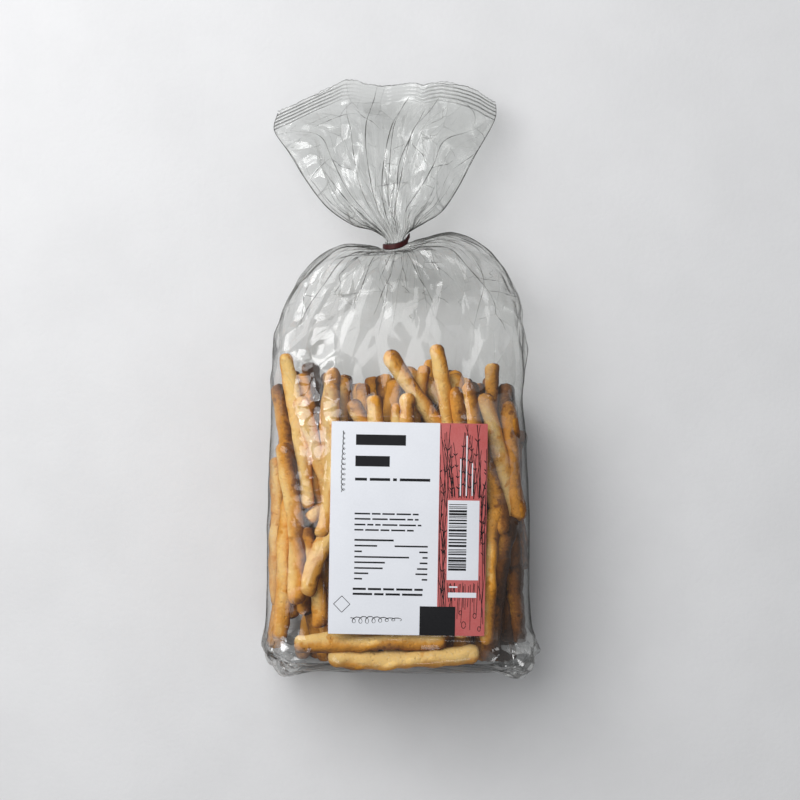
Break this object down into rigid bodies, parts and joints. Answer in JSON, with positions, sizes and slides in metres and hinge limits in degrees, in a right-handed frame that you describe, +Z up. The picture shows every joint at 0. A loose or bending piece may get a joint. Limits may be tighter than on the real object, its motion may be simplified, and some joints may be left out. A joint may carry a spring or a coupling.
{
  "type": "bag of mini breadsticks",
  "caption": "Clear block-bottom film bag of short baked breadsticks, gathered and tied at the neck, with a flared sealed mouth and a paper front label.",
  "frame": {"origin": "on the surface that the bag lies on, under the middle of its bounding box", "axes": "+Y from the base of the bag to its sealed mouth, +Z up out of the label, +X across the label to its right"},
  "size_m": [0.1334, 0.2899, 0.0643],
  "materials": {
    "film": "gloss",
    "crust": "matte",
    "label_paper": "satin",
    "label_print": "satin",
    "label_ink": "satin",
    "tie": "satin"
  },
  "bodies": {
    "root": {"bag": "film", "label": "label_paper", "tie": "tie"}
  },
  "joints": []
}
